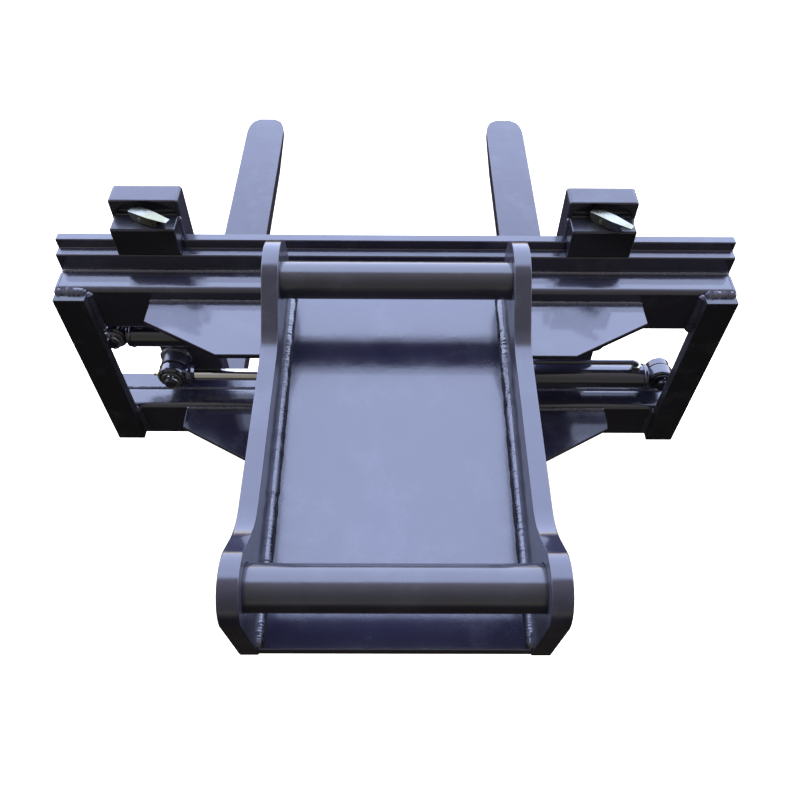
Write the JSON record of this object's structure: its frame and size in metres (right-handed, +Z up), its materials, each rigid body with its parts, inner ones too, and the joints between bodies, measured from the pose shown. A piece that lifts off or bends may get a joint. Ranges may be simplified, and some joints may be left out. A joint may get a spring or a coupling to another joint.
{
  "type": "pallet fork attachment with two-pin coupler hitch",
  "caption": "Excavator pallet-fork carriage with a two-pin quick-coupler hitch and forks that cylinders slide along its bars.",
  "frame": {"origin": "middle of the object's footprint, on the level of the forks' undersides", "axes": "+X to the right, +Y along the forks towards their tips, +Z up"},
  "size_m": [1.2, 1.982, 0.7189],
  "materials": {
    "paint": "glossy dark slate-blue paint",
    "fork_paint": "satin dark slate-blue paint over forged steel",
    "chrome": "hard-chromed and ground",
    "zinc": "bright zinc plating",
    "spring_steel": "oiled steel"
  },
  "bodies": {
    "carriage": {"upper_tube": "paint", "lower_tube": "paint", "upper_left_cap": "paint", "upper_right_cap": "paint", "lower_left_cap": "paint", "lower_right_cap": "paint", "upper_fork_bar": "paint", "lower_fork_bar": "paint", "left_upright": "paint", "right_upright": "paint", "upper_gusset": "paint", "lower_gusset": "paint", "left_rib": "paint", "right_rib": "paint", "left_ear": "paint", "right_ear": "paint", "base_plate": "paint", "front_hitch_pin": "paint", "rear_hitch_pin": "paint", "left_cylinder_base_eye": "paint", "left_cylinder_barrel": "paint", "left_cylinder_gland": "paint", "left_cylinder_pipe": "paint", "left_anchor_lug": "paint", "left_anchor_stud": "paint", "left_base_eye_washer": "zinc", "left_base_eye_clip": "zinc", "right_cylinder_base_eye": "paint", "right_cylinder_barrel": "paint", "right_cylinder_gland": "paint", "right_cylinder_pipe": "paint", "right_anchor_lug": "paint", "right_anchor_stud": "paint", "right_base_eye_washer": "zinc", "right_base_eye_clip": "zinc"},
    "left_fork": {"left_fork": "fork_paint", "left_upper_hook": "fork_paint", "left_lower_hook": "fork_paint", "left_fork_stud": "fork_paint", "left_rod_eye": "paint", "left_rod": "chrome", "left_piston": "spring_steel", "left_rod_eye_washer": "zinc", "left_rod_eye_clip": "zinc", "left_lock_spring": "spring_steel"},
    "left_lock_pin": {"left_lock_pin": "zinc"},
    "left_lock_lever": {"left_lock_lever": "zinc"},
    "right_fork": {"right_fork": "fork_paint", "right_upper_hook": "fork_paint", "right_lower_hook": "fork_paint", "right_fork_stud": "fork_paint", "right_rod_eye": "paint", "right_rod": "chrome", "right_piston": "spring_steel", "right_rod_eye_washer": "zinc", "right_rod_eye_clip": "zinc", "right_lock_spring": "spring_steel"},
    "right_lock_pin": {"right_lock_pin": "zinc"},
    "right_lock_lever": {"right_lock_lever": "zinc"}
  },
  "joints": [
    {"name": "left_fork_slide", "type": "slide", "parent": "carriage", "child": "left_fork", "axis": [1, 0, 0], "range_m": [-0.104, 0.358]},
    {"name": "left_lock_lift", "type": "slide", "parent": "left_fork", "child": "left_lock_pin", "axis": [0, 0, 1], "range_m": [0, 0.0155], "stiffness_N_per_m": 40, "springref_m": -0.01, "deforming": ["left_lock_spring"]},
    {"name": "left_lever_turn", "type": "hinge", "parent": "left_lock_pin", "child": "left_lock_lever", "pos_m": [-0.433, -0.2685, 0.632], "axis": [-0.454, -0.891, 0], "range_deg": [0, 90]},
    {"name": "right_fork_slide", "type": "slide", "parent": "carriage", "child": "right_fork", "axis": [1, 0, 0], "range_m": [-0.28, 0.182]},
    {"name": "right_lock_lift", "type": "slide", "parent": "right_fork", "child": "right_lock_pin", "axis": [0, 0, 1], "range_m": [0, 0.0155], "stiffness_N_per_m": 40, "springref_m": -0.01, "deforming": ["right_lock_spring"]},
    {"name": "right_lever_turn", "type": "hinge", "parent": "right_lock_pin", "child": "right_lock_lever", "pos_m": [0.355, -0.2685, 0.632], "axis": [-0.6428, -0.766, 0], "range_deg": [0, 90]}
  ],
  "couplings": [
    {"joint": "left_lock_lift", "follows": "left_lever_turn", "m_per_rad": 0.00974},
    {"joint": "right_lock_lift", "follows": "right_lever_turn", "m_per_rad": 0.00974}
  ]
}
